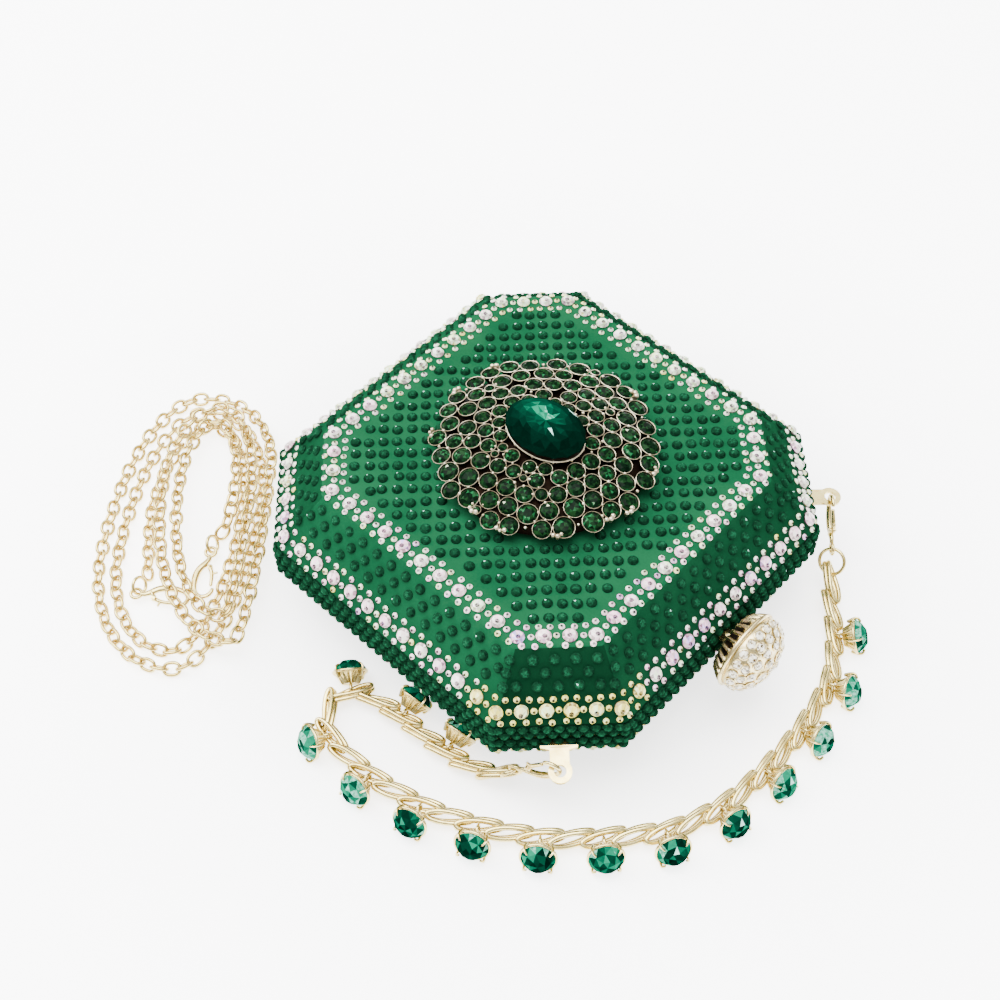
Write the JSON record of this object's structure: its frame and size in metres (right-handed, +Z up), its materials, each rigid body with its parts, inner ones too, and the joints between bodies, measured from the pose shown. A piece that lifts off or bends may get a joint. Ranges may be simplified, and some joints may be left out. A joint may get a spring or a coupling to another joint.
{
  "type": "rhinestone box clutch bag",
  "caption": "Hard octagonal box clutch with a hinged jewelled lid, domed brooch, push-knob latch, stone-drop wrist strap and coiled shoulder chain",
  "frame": {"origin": "on the table under the middle of the closed case, at the level of the back panel's stones", "axes": "+X from the hinge to the push knob, +Y along the hinge to the right lug's side, +Z up through the lid and the brooch"},
  "size_m": [0.2611, 0.2032, 0.0687],
  "materials": {
    "case_board": "moulded shell, covered outside and inside",
    "lining_cloth": "dark green cloth lining",
    "green_stones": "emerald satin set with dark green stones",
    "clear_stones": "clear stones with a rainbow coating",
    "knob_stones": "clear stones set in gold",
    "emerald_glass": "cut emerald green glass",
    "pale_gold": "polished pale gold plating",
    "antique_gold": "dark antique gold plating",
    "steel": "bright steel"
  },
  "bodies": {
    "case": {"back_shell": "case_board", "back_lining": "lining_cloth", "back_frame": "pale_gold", "hinge_pin": "pale_gold", "back_panel_crystals": "green_stones", "back_inner_border": "clear_stones", "back_bevel_crystals": "green_stones", "back_outer_border": "clear_stones", "back_wall_crystals": "green_stones", "front_lug": "pale_gold", "right_lug": "pale_gold", "latch_bracket": "steel", "latch_pin": "steel", "latch_spring": "steel", "strap_chain": "pale_gold", "front_claw": "pale_gold", "right_claw": "pale_gold", "front_ring": "pale_gold", "right_ring": "pale_gold", "shoulder_chain": "pale_gold", "chain_first_claw": "pale_gold", "chain_first_ring": "pale_gold", "chain_second_claw": "pale_gold", "chain_second_ring": "pale_gold", "drop_stone_01": "emerald_glass", "drop_stone_02": "emerald_glass", "drop_stone_03": "emerald_glass", "drop_stone_04": "emerald_glass", "drop_stone_05": "emerald_glass", "drop_stone_06": "emerald_glass", "drop_stone_07": "emerald_glass", "drop_stone_08": "emerald_glass", "drop_stone_09": "emerald_glass", "drop_stone_10": "emerald_glass", "drop_stone_11": "emerald_glass", "drop_stone_12": "emerald_glass", "drop_stone_13": "emerald_glass", "drop_stone_14": "emerald_glass", "drop_stone_15": "emerald_glass"},
    "lid": {"lid_shell": "case_board", "lid_lining": "lining_cloth", "lid_frame": "pale_gold", "lid_panel_crystals": "green_stones", "lid_inner_border": "clear_stones", "lid_bevel_crystals": "green_stones", "lid_outer_border": "clear_stones", "lid_wall_crystals": "green_stones", "strike_plate": "steel", "brooch_base": "antique_gold", "brooch_bezel": "antique_gold", "centre_stone": "emerald_glass"},
    "knob": {"knob_cap": "pale_gold", "knob_dome": "knob_stones", "knob_shaft": "steel"},
    "latch": {"latch_lever": "steel"},
    "front_trigger": {"front_claw_lever": "pale_gold"},
    "right_trigger": {"right_claw_lever": "pale_gold"},
    "chain_first_trigger": {"chain_first_claw_lever": "pale_gold"},
    "chain_second_trigger": {"chain_second_claw_lever": "pale_gold"}
  },
  "joints": [
    {"name": "lid_hinge", "type": "hinge", "parent": "case", "child": "lid", "pos_m": [-0.0776, 0, 0.027], "axis": [0, -1, 0], "range_deg": [0, 95]},
    {"name": "knob_press", "type": "slide", "parent": "case", "child": "knob", "axis": [-1, 0, 0], "range_m": [0, 0.002], "stiffness_N_per_m": 500},
    {"name": "latch_swing", "type": "hinge", "parent": "case", "child": "latch", "pos_m": [0.06445, 0, 0.0195], "axis": [0, -1, 0], "range_deg": [0, 16]},
    {"name": "front_trigger_pull", "type": "hinge", "parent": "case", "child": "front_trigger", "pos_m": [0.05823, -0.07133, 0.01795], "axis": [0.3535, -0.9354, 0], "range_deg": [-25, 0], "stiffness_Nm_per_rad": 0.005},
    {"name": "right_trigger_pull", "type": "hinge", "parent": "case", "child": "right_trigger", "pos_m": [0.07487, 0.06049, 0.01931], "axis": [0.7131, 0.7011, 0], "range_deg": [-25, 0], "stiffness_Nm_per_rad": 0.005},
    {"name": "chain_first_trigger_pull", "type": "hinge", "parent": "case", "child": "chain_first_trigger", "pos_m": [-0.08154, -0.10542, 0.00241], "axis": [-0.0499, -0.0374, -0.9981], "range_deg": [-25, 0], "stiffness_Nm_per_rad": 0.005},
    {"name": "chain_second_trigger_pull", "type": "hinge", "parent": "case", "child": "chain_second_trigger", "pos_m": [-0.07692, -0.08451, 0.00241], "axis": [0.0398, -0.0483, 0.998], "range_deg": [-25, 0], "stiffness_Nm_per_rad": 0.005}
  ],
  "couplings": [
    {"joint": "latch_swing", "follows": "knob_press", "rad_per_m": 133.33}
  ]
}
